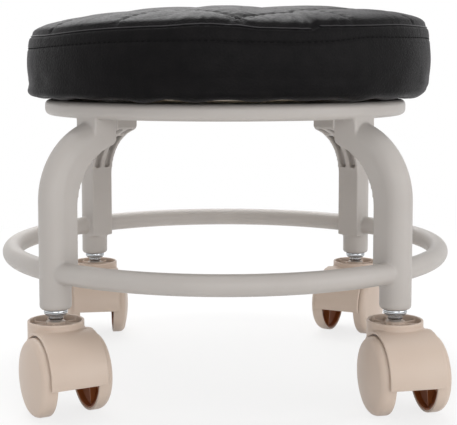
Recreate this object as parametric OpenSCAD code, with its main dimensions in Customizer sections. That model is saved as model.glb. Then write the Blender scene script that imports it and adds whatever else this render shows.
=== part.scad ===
// Low rolling seat: a round upholstered cushion on a one-piece moulded plastic
// base with four bent legs and a foot ring, on four twin-wheel swivel casters.
// The floor is at height zero, the middle of the base is over the origin,
// and the front of the seat looks towards -Y.

/* [Cushion] */
// Diameter of the cushion where its side is fullest
seat_d = 294; // [280:1:320]
// Height of the side, from the underside to the top seam
side_h = 45.4; // [40:0.2:60]
// Rise of the crown above the top seam
crown_h = 16.6; // [12:0.2:24]
// How far the side is drawn in at the top seam
seam_in = 4.2; // [2:0.1:7]
// How far the side is drawn in at the underside
hem_in = 3.6; // [2:0.1:6]
// How much the top seam climbs from the middle to the right
seam_lean = 2.4; // [0:0.1:4]
// Distance of the lower stitch line below the top seam
stitch_drop = 9; // [7:0.5:12]
// Depth of the lower stitch line
stitch_depth = 0.7; // [0.3:0.1:1]
// Spacing of the sewn lines across the crown
quilt_pitch = 60.5; // [50:0.5:90]
// Depth of the sewn lines across the crown
quilt_depth = 2.4; // [1:0.1:4]
// Half width of the dip at a sewn line
quilt_dip_w = 14; // [10:0.5:20]
// Turn of the sewn lines from the front of the seat
quilt_turn = 45; // [0:1:90]
// Distance from the middle of a line that runs to the rear right
quilt_off_right = 20.2; // [0:0.1:30]
// Distance from the middle of a line that runs to the rear left
quilt_off_left = 25.5; // [0:0.1:30]
// Thickness of the cover cloth
cover_t = 1.2; // [0.8:0.1:1.8]
// Width of the cover's hem under the board
hem_w = 24; // [16:1:28]
// Size of the gathers along the lower edge
gather = 1.1; // [0.4:0.1:1.6]
// Rounding of the lower edge
edge_round = 5; // [4:0.25:7]
// Thickness of the plywood board
board_t = 12; // [9:0.5:15]
// Number of staples that hold the hem
staple_count = 24; // [12:4:36]

/* [Deck] */
// Diameter of the deck over its rim
deck_d = 262; // [260:0.5:270]
// Height of the rim
rim_h = 11; // [9:0.5:13]
// Rounding of the rim
rim_round = 4; // [2.5:0.25:4.25]
// Thickness of the deck plate
deck_t = 3; // [2:0.25:4]
// Diameter of the opening in the middle of the deck
opening_d = 120; // [100:1:140]
// Height of the seat's screw bosses above the deck plate
boss_rise = 4.1; // [3:0.1:6]
// Diameter of a screw boss
boss_d = 18; // [17.5:0.1:19]
// Free width between a seat screw's washer and the gusset's end
wrench_gap = 2.3; // [1.8:0.1:2.8]
// Height from the legs' lower ends to the top of the deck plate
base_h = 133; // [131:0.5:145]

/* [Legs] */
// Distance between neighbouring legs, axis to axis
leg_spacing = 220; // [219:0.5:226]
// Diameter of the round front of a leg
leg_d = 20.8; // [20.6:0.1:22]
// Width of the flat back of a leg
leg_back_w = 20.4; // [18:0.1:20.5]
// Depth of the flat back behind the leg's axis
leg_back = 11.2; // [10.6:0.1:13]
// Radius of the bend at the top of a leg, on its axis
bend_r = 42; // [40:0.5:44]
// Depth of the start of the bend below the top of the deck plate
bend_start = 63.2; // [62:0.2:69]
// Height of the round foot of a leg below its flat back
foot_h = 15.3; // [12:0.1:16]
// Rounding of a leg's lower edge
foot_round = 2.4; // [1:0.1:2.6]
// How far the gusset's hollow curve starts below the start of the bend
gusset_drop = 4; // [2:0.25:6]
// Radius of the gusset's hollow curve
gusset_curve_r = 40; // [38:0.5:42]
// Reach of the gusset behind the deck's outside
gusset_behind = 19; // [19:0.25:20.5]
// Wall of the gusset's two cheeks and of its end
gusset_wall = 2.5; // [2:0.1:3.5]
// Thickness of the upright rib in the middle of the gusset
gusset_rib_t = 4.4; // [2:0.1:6]
// Thickness of the cross rib inside the gusset and of the ribs under the deck
rib_t = 2.1; // [1.5:0.1:3]
// How far the block between leg and rim lies behind the deck's outside
block_behind = 1.5; // [1:0.25:3]

/* [Foot ring] */
// Thickness of the foot ring's round bar
ring_bar_d = 14; // [10:0.25:16]
// Height of the ring's middle above the legs' lower ends
ring_up = 24.1; // [20:0.1:30]

/* [Casters] */
// Diameter of a wheel
wheel_d = 50; // [46:0.5:54]
// Width of one wheel's tread, from its open side to the bulge
tread_w = 8.8; // [8.4:0.1:12]
// Height of the bulge on a wheel's outer side
bulge = 4.2; // [3:0.1:6]
// Rounding between a wheel's tread and its bulge
tread_round = 5; // [3:0.1:5.6]
// Thickness of a wheel's rim
wheel_rim = 3; // [2:0.1:4]
// Wall of a wheel's bulge
wheel_wall = 2.2; // [1.6:0.1:3]
// Free width between the two wheels
wheel_gap = 27; // [22:0.1:29]
// Distance of the wheel axle from the swivel axis
trail = 15.6; // [14.5:0.1:18]
// Space between wheel and hood
hood_gap = 1.1; // [0.8:0.1:1.6]
// Thickness of the hood
hood_t = 1.8; // [1.4:0.1:2.4]
// Width of the hood
hood_w = 37.4; // [34:0.2:39]
// Reach of the hood below the axle
hood_below = 2.8; // [1:0.1:4]
// Outer diameter of the round cup on top of the caster
cup_d = 36.6; // [36.2:0.1:38]
// Wall of the cup
cup_wall = 1.7; // [1.4:0.1:2.4]
// Height of the cup's rim above the top of the hood
cup_rise = 4.1; // [3:0.1:6]
// Diameter of the stem's flange
flange_d = 15.4; // [14:0.2:16.6]
// Thickness of the stem's flange
flange_t = 2.8; // [2:0.1:3.5]
// Diameter of the stem's neck between flange and cup
neck_d = 9.4; // [9:0.1:10]
// Height of the neck above the cup's rim
neck_h = 4.4; // [3:0.1:6]
// Diameter of the stem in the leg
stem_d = 11; // [10.6:0.1:11.4]
// Length of the stem in the leg
stem_l = 21; // [18:0.5:23]
// Diameter of the swivel pin below the neck
swivel_d = 6.4; // [6:0.1:6.8]
// Diameter of the wheel axle
axle_d = 6; // [5:0.1:6.4]

/* [Hidden] */
$fn = 64;

// One overrun for all cuts, and the gaps that the fits leave
cut = 0.5;
running_gap = 0.05;
grip_gap = 0.02;
socket_gap = 0.1;
loose_gap = 0.3;

// Where a caster stands: left or right, front or rear, and how far its hood
// has swivelled from pointing to the front
FRONT_LEFT = [-1, -1, 28.6];
FRONT_RIGHT = [1, -1, 12.4];
REAR_LEFT = [-1, 1, 8.2];
REAR_RIGHT = [1, 1, -27.6];

// Heights, from the floor up
wheel_r = wheel_d / 2;
hood_r = wheel_r + hood_gap + hood_t;
cup_top = wheel_r + hood_r + cup_rise;
flange_z = cup_top + neck_h;
leg_end = flange_z + flange_t;
bend_up = base_h - bend_start;
bend_z = leg_end + bend_up;
ring_z = leg_end + ring_up;
deck_top = leg_end + base_h;
board_z = deck_top + boss_rise;
hem_z = board_z - cover_t;
seam_z = hem_z + side_h;

// Deck
deck_r = deck_d / 2;
opening_r = opening_d / 2;
rib_depth = 7;
lip_depth = 8;
lip_t = 2.6;

// Legs
gusset_reach = deck_r - gusset_behind;
block_r = deck_r - block_behind;
leg_r = leg_d / 2;
leg_axis_r = leg_spacing / sqrt(2);
bend_axis_r = leg_axis_r - bend_r;
inner_face_r = leg_axis_r - leg_back;
hollow_axis_r = inner_face_r - gusset_curve_r;
hollow_z = bend_z - gusset_drop;
// How deep the end of the bend lies inside the block
bend_sunk = 2;
bend_angle = acos((block_r - bend_axis_r - bend_sunk) / (bend_r + leg_r));
// Size of the slant at the inner end of the gusset
gusset_slant = 3.5;
// How far the hollows in the gusset reach above the axis of the bend
pocket_over = 3;
// How deep they lie behind the hollow curve, and how far above its start they begin
pocket_deep = 4.5;
pocket_up = 7;
pocket_w = (leg_back_w - 2 * gusset_wall - gusset_rib_t) / 2;
cross_rib_share = 0.43;
cross_rib_r = gusset_reach + (inner_face_r - gusset_reach) * cross_rib_share;
socket_depth = stem_l + 2 * gusset_wall;

// Cushion
seat_r = seat_d / 2;
seam_r = seat_r - seam_in;
hem_r = seat_r - hem_in;
hem_flat_r = hem_r - edge_round;
hem_hole_r = hem_flat_r - hem_w;
// Depth of the cloth and of the padding sewn to it, on the side and on the crown
side_skin = cover_t + gather;
crown_skin = cover_t + quilt_depth + seam_lean;
staple_w = 10;
staple_leg = 6;
staple_wire = 0.9;
staple_r = hem_hole_r + hem_w / 2;

// Seat screws in the deck's bosses, their washers and the tee nuts in the board
bolt_d = 6;
bolt_hole_d = 6.6;
bolt_head_w = 10;
bolt_head_h = 4;
bolt_past_board = 2;
washer_d = 12.4;
washer_t = 1.2;
boss_drop = 3.5;
boss_low = deck_top - deck_t - boss_drop;
// The bosses stay clear of the gussets, of the rim and of the cover's hem
boss_hem_gap = 1.5;
wrench_circle_r = min(gusset_reach, deck_r - 2 * rim_round) - washer_d / 2 - wrench_gap;
boss_circle_r = min(wrench_circle_r, hem_hole_r - boss_d / 2 - boss_hem_gap);
tee_flange_d = 19;
tee_flange_t = 1.4;
tee_barrel_d = 8;
tee_barrel_l = 8.5;

// Casters
hub_gap = 0.5;
axle_boss_w = wheel_gap - 2 * hub_gap;
clear_r = wheel_r + hood_gap;
cup_depth = 15;
cup_low = cup_top - cup_depth;
cup_floor = cup_low + hood_t;
boss_sink = 0.6;
boss_top = cup_top - boss_sink;
swivel_boss_d = 13;
web_w = swivel_boss_d;
swivel_low = wheel_r + hood_gap + hood_t;
axle_boss_d = 13;
cup_rib_t = 1.3;
cup_rib_count = 10;
hub_d = 12;
wheel_rib_count = 6;
wheel_rib_t = 1.3;
wheel_rib_sunk = 2.5;
hub_cap_t = 2.4;
hub_bore_l = tread_w + bulge - hub_cap_t;
axle_l = axle_boss_w + 2 * hub_bore_l;
grip_groove = 1;
grip_l = 6;
grip_below_tip = 3;
grip_slot = 2.4;
stem_tip = 1.2;

// Round share of an outline that is full in the middle and falls off at its edge
function round_share(share) = sqrt(max(0, 1 - pow(share, 2.5)));

// The side of the cushion: its radius at a share of its height
function side_r(share) = seat_r - hem_in * pow(max(0, 1 - share * 2), 2)
    - seam_in * pow(max(0, share * 2 - 1), 3);

// The sewn lines cross in diamonds: the dip at a distance from the nearest line each way
function dip(distance) = exp(-pow(distance * 1.7 / quilt_dip_w, 2));
function line_dip(across) = dip(across - quilt_pitch * round(across / quilt_pitch));
function quilt_dip(x, y) = quilt_depth * max(
    line_dip(x * cos(quilt_turn) + y * sin(quilt_turn) + quilt_off_left),
    line_dip(y * cos(quilt_turn) - x * sin(quilt_turn) - quilt_off_right));

// Rings of the cover's outer surface from the crown down the side to the hem:
// each a radius, a height above the hem, and shares of the dip, lean and gathers in it
crown_shares = [0.1, 0.2, 0.3, 0.39, 0.47, 0.55, 0.63, 0.71, 0.79, 0.86, 0.92, 0.965];
side_shares = [0.68, 0.46, 0.25];
stitch_share = 1 - stitch_drop / side_h;
function lean_share(height) = min(1, max(0, height / side_h * 2 - 1));
cover_rings = concat(
    [for (s = crown_shares) [seam_r * s, side_h + crown_h * round_share(s), 1 - pow(s, 6), 1, 0]],
    [[seam_r, side_h, 0, 1, 0]],
    [[side_r(0.93), side_h * 0.93, 0, lean_share(side_h * 0.93), 0]],
    [[side_r(stitch_share) - stitch_depth, side_h * stitch_share, 0,
        lean_share(side_h * stitch_share), 0]],
    [for (s = side_shares) [side_r(s), side_h * s, 0, lean_share(side_h * s), 0]],
    [[hem_r, edge_round, 0, 0, 1], [hem_r - edge_round / 3, edge_round / 4, 0, 0, 1],
        [hem_flat_r, 0, 0, 0, 0]]);
cover_sides = 54;
gather_count = 18;

function ring_point(ring, angle) =
    let (r = ring[0] + ring[4] * gather * cos(angle * gather_count),
        x = r * cos(angle), y = r * sin(angle))
    [x, y, hem_z + ring[1] + ring[3] * seam_lean * x / seam_r - ring[2] * quilt_dip(x, y)];

module cover_form() {
    rings = len(cover_rings);
    last = 1 + rings * cover_sides;
    function at(i, k) = 1 + i * cover_sides + k % cover_sides;
    polyhedron(
        points = concat([[0, 0, seam_z + crown_h]],
            [for (ring = cover_rings) for (k = [0 : cover_sides - 1])
                ring_point(ring, k * 360 / cover_sides)],
            [[0, 0, hem_z]]),
        faces = concat(
            [for (k = [0 : cover_sides - 1]) [0, at(0, k + 1), at(0, k)]],
            [for (i = [0 : rings - 2]) for (k = [0 : cover_sides - 1])
                each [[at(i, k), at(i, k + 1), at(i + 1, k)],
                    [at(i, k + 1), at(i + 1, k + 1), at(i + 1, k)]]],
            [for (k = [0 : cover_sides - 1]) [last, at(rings - 1, k), at(rings - 1, k + 1)]]));
}

// Outline of the room inside the cover from a height up, drawn in by a gap
module room_outline(low, gap) {
    top_r = seam_r - side_skin;
    top_z = seam_z - crown_skin - gap;
    room_shares = [1, 0.98, 0.94, 0.87, 0.76, 0.62, 0.45, 0.25, 0];
    polygon(concat([[0, low], [hem_flat_r - gap, low]],
        [for (k = [2 : -1 : 0]) let (s = side_shares[k]) [side_r(s) - side_skin - gap, hem_z + side_h * s]],
        [for (s = room_shares) [(top_r - gap) * s, top_z + crown_h * round_share(s)]]));
}

module seat_cover() {
    color("#1f1e1f") difference() {
        cover_form();
        rotate_extrude() room_outline(hem_z - cut, 0);
        translate([0, 0, hem_z - cut]) cylinder(r = seat_d, h = cover_t + cut);
    }
}

// The hem is the strip at the cover's lower edge that is turned in under the board
module cover_hem() {
    color("#1f1e1f") difference() {
        cover_form();
        translate([0, 0, board_z]) cylinder(r = seat_d, h = seat_d);
        translate([0, 0, hem_z - cut]) cylinder(r = hem_hole_r, h = cover_t + 2 * cut);
    }
}

module seat_foam() {
    tee_room = bolt_past_board + loose_gap;
    color("#e9dfb8") difference() {
        rotate_extrude() room_outline(board_z + board_t, loose_gap);
        at_bosses() translate([0, 0, board_z + board_t - cut])
            cylinder(d = tee_flange_d + 2 * loose_gap, h = tee_room + cut);
    }
}

// Four places around the middle, in line with the legs
module at_bosses() {
    for (turn = [45 : 90 : 315]) rotate(turn) translate([boss_circle_r, 0, 0]) children();
}

module seat_board() {
    color("#c9a878") difference() {
        translate([0, 0, board_z]) cylinder(r = hem_flat_r - loose_gap, h = board_t);
        at_bosses() translate([0, 0, board_z - cut])
            cylinder(d = tee_barrel_d + 2 * running_gap, h = board_t + 2 * cut);
    }
}

module cover_staples() {
    color("#b9bcc0") for (k = [0 : staple_count - 1]) rotate((k + 0.5) * 360 / staple_count)
        translate([staple_r - staple_wire / 2, -staple_w / 2, hem_z - staple_wire]) {
            cube([staple_wire, staple_w, staple_wire]);
            for (y = [0, staple_w - staple_wire]) translate([0, y, 0])
                cube([staple_wire, staple_wire, staple_leg + staple_wire]);
        }
}

module tee_nuts() {
    color("#c3c6ca") at_bosses() difference() {
        union() {
            translate([0, 0, board_z + board_t - tee_barrel_l])
                cylinder(d = tee_barrel_d, h = tee_barrel_l + tee_flange_t / 2);
            translate([0, 0, board_z + board_t]) cylinder(d = tee_flange_d, h = tee_flange_t);
        }
        translate([0, 0, board_z])
            cylinder(d = bolt_d + 2 * running_gap, h = board_t + tee_flange_t + cut);
    }
}

module seat_bolts() {
    head_low = boss_low - washer_t - bolt_head_h;
    color("#b5b8bd") at_bosses() {
        translate([0, 0, head_low])
            cylinder(d = bolt_head_w / cos(30), h = bolt_head_h, $fn = 6);
        translate([0, 0, head_low])
            cylinder(d = bolt_d, h = board_z + board_t + bolt_past_board - head_low);
    }
}

module seat_washers() {
    color("#c3c6ca") at_bosses() translate([0, 0, boss_low - washer_t]) difference() {
        cylinder(d = washer_d, h = washer_t);
        translate([0, 0, -cut]) cylinder(d = bolt_hole_d, h = washer_t + 2 * cut);
    }
}

// Section of the deck: a plate with a full round rim and a lip round the opening
module deck_outline() {
    rim_mid = deck_r - rim_round;
    translate([opening_r, deck_top - deck_t]) square([rim_mid - opening_r, deck_t]);
    translate([opening_r, deck_top - lip_depth]) square([lip_t, lip_depth]);
    translate([rim_mid, deck_top - rim_round]) circle(rim_round);
    translate([rim_mid, deck_top - rim_h + rim_round]) circle(rim_round);
    translate([rim_mid - rim_round, deck_top - rim_h + rim_round])
        square([2 * rim_round, rim_h - 2 * rim_round]);
}

module deck_plate() {
    rotate_extrude() deck_outline();
    at_bosses() translate([0, 0, boss_low]) cylinder(d = boss_d, h = board_z - boss_low);
}

// The base is one moulding. Its deck, legs and ring are cut apart where they meet,
// so that each is a simple solid.
module base_deck() {
    color("#b6b2ad") difference() {
        union() {
            deck_plate();
            for (k = [0 : 15]) if (k % 4 != 2) rotate(k * 22.5)
                translate([opening_r + lip_t / 2, -rib_t / 2, deck_top - rib_depth])
                    cube([deck_r - rim_round - opening_r - lip_t / 2, rib_t,
                        rib_depth - deck_t / 2]);
        }
        at_bosses() translate([0, 0, boss_low - cut])
            cylinder(d = bolt_hole_d, h = board_z - boss_low + 2 * cut);
    }
}

// Round outline of a leg, from its foot up to the bend
module foot_outline() {
    translate([0, foot_round]) square([leg_r, bend_up - foot_round]);
    square([leg_r - foot_round, bend_up]);
    translate([leg_r - foot_round, foot_round]) circle(foot_round);
}

// Side view of the flat back, the gusset and the block under the rim
module gusset_outline() {
    back_low = leg_end + foot_h;
    end_low = hollow_z + sqrt(pow(gusset_curve_r, 2) - pow(gusset_reach - hollow_axis_r, 2));
    difference() {
        union() {
            translate([inner_face_r, back_low]) square([leg_back, bend_z - back_low]);
            intersection() {
                translate([bend_axis_r, bend_z]) circle(bend_r);
                translate([gusset_reach, hollow_z]) square(bend_r * 2);
            }
            translate([gusset_reach, hollow_z])
                square([block_r - gusset_reach, deck_top - deck_t / 2 - hollow_z]);
        }
        translate([bend_axis_r - bend_r, leg_end])
            square([inner_face_r - bend_axis_r + bend_r, hollow_z - leg_end]);
        polygon([[gusset_reach - cut, end_low - gusset_slant],
            [gusset_reach + 2 * gusset_slant, end_low - gusset_slant],
            [gusset_reach + gusset_slant, end_low - gusset_slant / 3],
            [gusset_reach, end_low + gusset_slant / 2],
            [gusset_reach - cut, end_low + gusset_slant / 2]]);
    }
}

// Side view of the hollows in the gusset, with the cross rib left between them
module pocket_outline() {
    reach = gusset_reach + gusset_wall;
    difference() {
        intersection() {
            union() {
                intersection() {
                    translate([bend_axis_r, bend_z]) circle(bend_r + pocket_over);
                    translate([reach, hollow_z]) square([inner_face_r - reach, bend_r + leg_r]);
                }
                translate([hollow_axis_r, hollow_z]) circle(gusset_curve_r + pocket_deep);
            }
            translate([reach, hollow_z + pocket_up]) square(bend_r + leg_r);
        }
        translate([cross_rib_r - rib_t / 2, hollow_z]) square([rib_t, bend_r + leg_r]);
    }
}

module leg() {
    pocket_y = (pocket_w + gusset_rib_t) / 2;
    difference() {
        union() {
            translate([leg_axis_r, 0, leg_end]) rotate_extrude() foot_outline();
            translate([bend_axis_r, 0, bend_z]) rotate([90, 0, 0])
                rotate_extrude(angle = bend_angle) translate([bend_r, 0]) circle(leg_r);
            rotate([90, 0, 0]) linear_extrude(leg_back_w, center = true) gusset_outline();
        }
        translate([hollow_axis_r, 0, hollow_z]) rotate([90, 0, 0])
            cylinder(r = gusset_curve_r, h = leg_d + 2 * cut, center = true);
        for (y = [-pocket_y, pocket_y]) translate([0, y, 0]) rotate([90, 0, 0])
            linear_extrude(pocket_w, center = true) pocket_outline();
    }
}

module base_leg(caster) {
    color("#b6b2ad") difference() {
        rotate(atan2(caster[1], caster[0])) difference() {
            leg();
            translate([leg_axis_r, 0, leg_end - cut])
                cylinder(r = stem_d / 2 + socket_gap, h = socket_depth + cut);
        }
        deck_plate();
    }
}

module foot_ring() {
    color("#b6b2ad") difference() {
        translate([0, 0, ring_z]) rotate_extrude()
            translate([leg_axis_r, 0]) circle(d = ring_bar_d);
        for (turn = [45 : 90 : 315]) rotate(turn) leg();
    }
}

// Puts a caster's piece under its leg, turned as that caster stands
module place(caster) {
    translate([caster[0] * leg_spacing / 2, caster[1] * leg_spacing / 2, 0])
        rotate(caster[2]) children();
}

// A caster's own pieces stand on the swivel axis, with the hood towards -Y
module stem() {
    tip_z = leg_end + stem_l;
    groove_z = tip_z - grip_below_tip - grip_l;
    color("#c6c9cc") difference() {
        union() {
            translate([0, 0, swivel_low])
                cylinder(d = swivel_d, h = flange_z - swivel_low + flange_t / 2);
            translate([0, 0, boss_top]) cylinder(d = neck_d, h = flange_z - boss_top + flange_t / 2);
            translate([0, 0, flange_z]) cylinder(d = flange_d, h = flange_t);
            translate([0, 0, leg_end]) cylinder(d = stem_d, h = stem_l - stem_tip);
            translate([0, 0, tip_z - stem_tip])
                cylinder(d1 = stem_d, d2 = stem_d - 2 * stem_tip, h = stem_tip);
        }
        translate([0, 0, groove_z]) difference() {
            cylinder(d = stem_d + 2 * cut, h = grip_l);
            translate([0, 0, -cut]) cylinder(d = stem_d - 2 * grip_groove, h = grip_l + 2 * cut);
        }
    }
}

module grip_ring() {
    groove_z = leg_end + stem_l - grip_below_tip - grip_l;
    color("#9fa3a8") translate([0, 0, groove_z + running_gap]) difference() {
        cylinder(r = stem_d / 2 + socket_gap - grip_gap, h = grip_l - 2 * running_gap);
        translate([0, 0, -cut])
            cylinder(r = stem_d / 2 - grip_groove + grip_gap, h = grip_l + 2 * cut);
        translate([0, -grip_slot / 2, -cut]) cube([stem_d, grip_slot, grip_l + 2 * cut]);
    }
}

// Turns a shape's height to run along the wheel axle, from a distance to the right
module on_axle(from) {
    translate([from, -trail, wheel_r]) rotate([0, 90, 0]) children();
}

module caster_body() {
    hood_low = wheel_r - hood_below;
    swivel_bore_z = swivel_low - loose_gap;
    color("#d3c4b4") difference() {
        union() {
            difference() {
                cup_and_hood(hood_low);
                for (side = [0, 1]) mirror([side, 0, 0]) on_axle(web_w / 2)
                    cylinder(r = clear_r, h = hood_w);
            }
            on_axle(-axle_boss_w / 2) cylinder(d = axle_boss_d, h = axle_boss_w);
        }
        translate([0, 0, swivel_bore_z])
            cylinder(r = swivel_d / 2 + running_gap, h = cup_top - swivel_bore_z);
        on_axle(-axle_boss_w) cylinder(r = axle_d / 2 + grip_gap, h = 2 * axle_boss_w);
    }
}

// The cup with its ribs, and the hood as a full drum with the web below it
module cup_and_hood(hood_low) {
    difference() {
        translate([0, 0, cup_low]) cylinder(d = cup_d, h = cup_top - cup_low);
        translate([0, 0, cup_floor])
            cylinder(d = cup_d - 2 * cup_wall, h = cup_top - cup_floor + cut);
    }
    intersection() {
        on_axle(-hood_w / 2) cylinder(r = hood_r, h = hood_w);
        union() {
            translate([-hood_w, -trail - 2 * hood_r, hood_low])
                cube([2 * hood_w, 2 * hood_r, 2 * hood_r]);
            translate([-hood_w, -trail - hood_t, cup_low])
                cube([2 * hood_w, 2 * hood_r, hood_r]);
        }
    }
    translate([-web_w / 2, -trail, hood_low]) cube([web_w, trail, cup_floor - hood_low]);
    translate([0, 0, hood_low]) cylinder(d = swivel_boss_d, h = boss_top - hood_low);
    for (k = [0 : cup_rib_count - 1]) rotate((k + 0.5) * 360 / cup_rib_count)
        translate([0, -cup_rib_t / 2, cup_floor - hood_t / 2])
            cube([(cup_d - cup_wall) / 2, cup_rib_t, boss_top - cup_floor - boss_sink]);
}

module axle() {
    color("#c6c9cc") on_axle(-axle_l / 2) cylinder(d = axle_d, h = axle_l);
}

// Height of the bulge's outside over the wheel's open side, at a radius
function bulge_at(r) =
    let (ball_r = (pow(wheel_r, 2) + pow(bulge, 2)) / (2 * bulge))
    tread_w + bulge - ball_r + sqrt(pow(ball_r, 2) - pow(r, 2));

module wheel_outline() {
    round_r = wheel_r - tread_round;
    round_w = bulge_at(round_r) - tread_round;
    polygon(concat([[0, 0], [wheel_r, 0]],
        [for (a = [0 : 15 : 75]) [round_r + tread_round * cos(a),
            round_w + tread_round * sin(a)]],
        [for (s = [1, 0.85, 0.7, 0.55, 0.4, 0.25, 0]) [round_r * s, bulge_at(round_r * s)]]));
}

// The hollow between a wheel's rim and its hub, open towards the web
module wheel_hollow_outline() {
    hub_r = hub_d / 2;
    hollow_w = wheel_r - wheel_rim - hub_r;
    polygon(concat([[hub_r, -cut], [hub_r + hollow_w, -cut]],
        [for (s = [1, 0.85, 0.6, 0]) let (r = hub_r + hollow_w * s)
            [r, bulge_at(r) - wheel_wall * (1 + s * 0.8)]]));
}

// Wheel on the right of the web, with its open side against it
module wheel() {
    color("#d3c4b4") on_axle(wheel_gap / 2) difference() {
        rotate_extrude() wheel_outline();
        difference() {
            rotate_extrude() wheel_hollow_outline();
            for (k = [0 : wheel_rib_count - 1]) rotate(k * 360 / wheel_rib_count)
                translate([0, -wheel_rib_t / 2, wheel_rib_sunk])
                    cube([wheel_r, wheel_rib_t, wheel_r]);
        }
        translate([0, 0, -cut]) cylinder(r = axle_d / 2 + running_gap, h = hub_bore_l + cut);
    }
}

base_deck();
foot_ring();
base_leg(FRONT_LEFT);  // front_left_leg
base_leg(FRONT_RIGHT);  // front_right_leg
base_leg(REAR_LEFT);  // rear_left_leg
base_leg(REAR_RIGHT);  // rear_right_leg
seat_cover();
cover_hem();
seat_foam();
seat_board();
cover_staples();
tee_nuts();
seat_bolts();
seat_washers();

place(FRONT_LEFT) stem();  // front_left_stem
place(FRONT_LEFT) grip_ring();  // front_left_grip_ring
place(FRONT_LEFT) caster_body();  // front_left_caster_body
place(FRONT_LEFT) axle();  // front_left_axle
place(FRONT_LEFT) mirror([1, 0, 0]) wheel();  // front_left_wheel_left
place(FRONT_LEFT) wheel();  // front_left_wheel_right

place(FRONT_RIGHT) stem();  // front_right_stem
place(FRONT_RIGHT) grip_ring();  // front_right_grip_ring
place(FRONT_RIGHT) caster_body();  // front_right_caster_body
place(FRONT_RIGHT) axle();  // front_right_axle
place(FRONT_RIGHT) mirror([1, 0, 0]) wheel();  // front_right_wheel_left
place(FRONT_RIGHT) wheel();  // front_right_wheel_right

place(REAR_LEFT) stem();  // rear_left_stem
place(REAR_LEFT) grip_ring();  // rear_left_grip_ring
place(REAR_LEFT) caster_body();  // rear_left_caster_body
place(REAR_LEFT) axle();  // rear_left_axle
place(REAR_LEFT) mirror([1, 0, 0]) wheel();  // rear_left_wheel_left
place(REAR_LEFT) wheel();  // rear_left_wheel_right

place(REAR_RIGHT) stem();  // rear_right_stem
place(REAR_RIGHT) grip_ring();  // rear_right_grip_ring
place(REAR_RIGHT) caster_body();  // rear_right_caster_body
place(REAR_RIGHT) axle();  // rear_right_axle
place(REAR_RIGHT) mirror([1, 0, 0]) wheel();  // rear_right_wheel_left
place(REAR_RIGHT) wheel();  // rear_right_wheel_right
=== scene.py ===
import math
import bmesh
import bpy
import numpy as np
from mathutils import Matrix, Vector, noise
from mathutils.bvhtree import BVHTree


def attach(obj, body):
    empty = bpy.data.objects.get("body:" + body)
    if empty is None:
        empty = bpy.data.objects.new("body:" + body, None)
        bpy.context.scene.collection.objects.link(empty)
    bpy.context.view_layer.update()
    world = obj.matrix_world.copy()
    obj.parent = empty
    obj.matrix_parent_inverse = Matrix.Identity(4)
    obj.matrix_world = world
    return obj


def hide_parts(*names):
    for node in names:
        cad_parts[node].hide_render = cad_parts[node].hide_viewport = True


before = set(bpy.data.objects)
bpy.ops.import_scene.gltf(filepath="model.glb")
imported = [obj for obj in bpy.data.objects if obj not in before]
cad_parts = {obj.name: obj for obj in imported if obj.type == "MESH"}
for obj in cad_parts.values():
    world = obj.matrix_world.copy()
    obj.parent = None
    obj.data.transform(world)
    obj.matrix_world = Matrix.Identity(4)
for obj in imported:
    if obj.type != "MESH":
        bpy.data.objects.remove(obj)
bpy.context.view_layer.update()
scene = bpy.context.scene
MM = 0.001

# The view: a long lens close to the floor, level with the cushion's side and tilted a
# little down, straight from the front. It was fitted to the legs, the ring and the wheels.
PHOTO_W = 457
FOCAL_PX = 1116.9
HORIZON_SHIFT_PX = -46
CAMERA_AT = (-1.0, -822.9, 221.2)
CAMERA_DOWN = 5.173
CAMERA_TURN = -0.233
lens = bpy.data.cameras.new("camera")
lens.sensor_width = 36
lens.lens = lens.sensor_width * FOCAL_PX / PHOTO_W
lens.shift_y = HORIZON_SHIFT_PX / PHOTO_W
camera = bpy.data.objects.new("camera", lens)
camera.location = [part * MM for part in CAMERA_AT]
camera.rotation_euler = (math.radians(90 - CAMERA_DOWN), 0, math.radians(CAMERA_TURN))
scene.collection.objects.link(camera)
scene.camera = camera
scene.view_settings.view_transform = "Standard"

# The studio: a pale floor that runs to a white room, and five large soft lamps.
# The room is plain white to the eye and to reflections, and dimmer as a light.
ROOM_LIGHT = 0.5


def add(tree, kind, inputs=(), **settings):
    """Adds a node, sets its options, and sets or links its inputs."""
    node = tree.nodes.new(kind)
    for name, value in settings.items():
        setattr(node, name, value)
    for socket, value in dict(inputs).items():
        if isinstance(value, bpy.types.NodeSocket):
            tree.links.new(value, node.inputs[socket])
        else:
            node.inputs[socket].default_value = value
    return node


def seen_rays(tree):
    """1 for a ray from the eye, a reflection or clear glass, and 0 for one that only lights."""
    path = add(tree, "ShaderNodeLightPath").outputs
    seen = add(tree, "ShaderNodeMath", {0: path["Is Camera Ray"], 1: path["Is Glossy Ray"]},
               operation="MAXIMUM")
    seen = add(tree, "ShaderNodeMath", {0: seen.outputs[0], 1: path["Is Transmission Ray"]},
               operation="MAXIMUM")
    return seen.outputs[0]


room = bpy.data.worlds.new("room")
room.use_nodes = True
tree = room.node_tree
tree.nodes.clear()
strength = add(tree, "ShaderNodeMapRange", {"Value": seen_rays(tree), "To Min": ROOM_LIGHT,
                                            "To Max": 1.0})
glow = add(tree, "ShaderNodeBackground", {"Color": (1, 1, 1, 1), "Strength": strength.outputs[0]})
add(tree, "ShaderNodeOutputWorld", {"Surface": glow.outputs[0]})
scene.world = room


def linear(hex_colour):
    """An sRGB hex colour as the linear values that the shaders take."""
    parts = [int(hex_colour[i:i + 2], 16) / 255 for i in (1, 3, 5)]
    return tuple(c / 12.92 if c <= 0.04045 else ((c + 0.055) / 1.055) ** 2.4 for c in parts) + (1,)


def new_material(name):
    """An empty material, its node tree and its place on the surface, from the piece's own axes."""
    made = bpy.data.materials.new(name)
    made.use_nodes = True
    made.node_tree.nodes.clear()
    return made, made.node_tree, add(made.node_tree, "ShaderNodeTexCoord").outputs["Object"]


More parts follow.
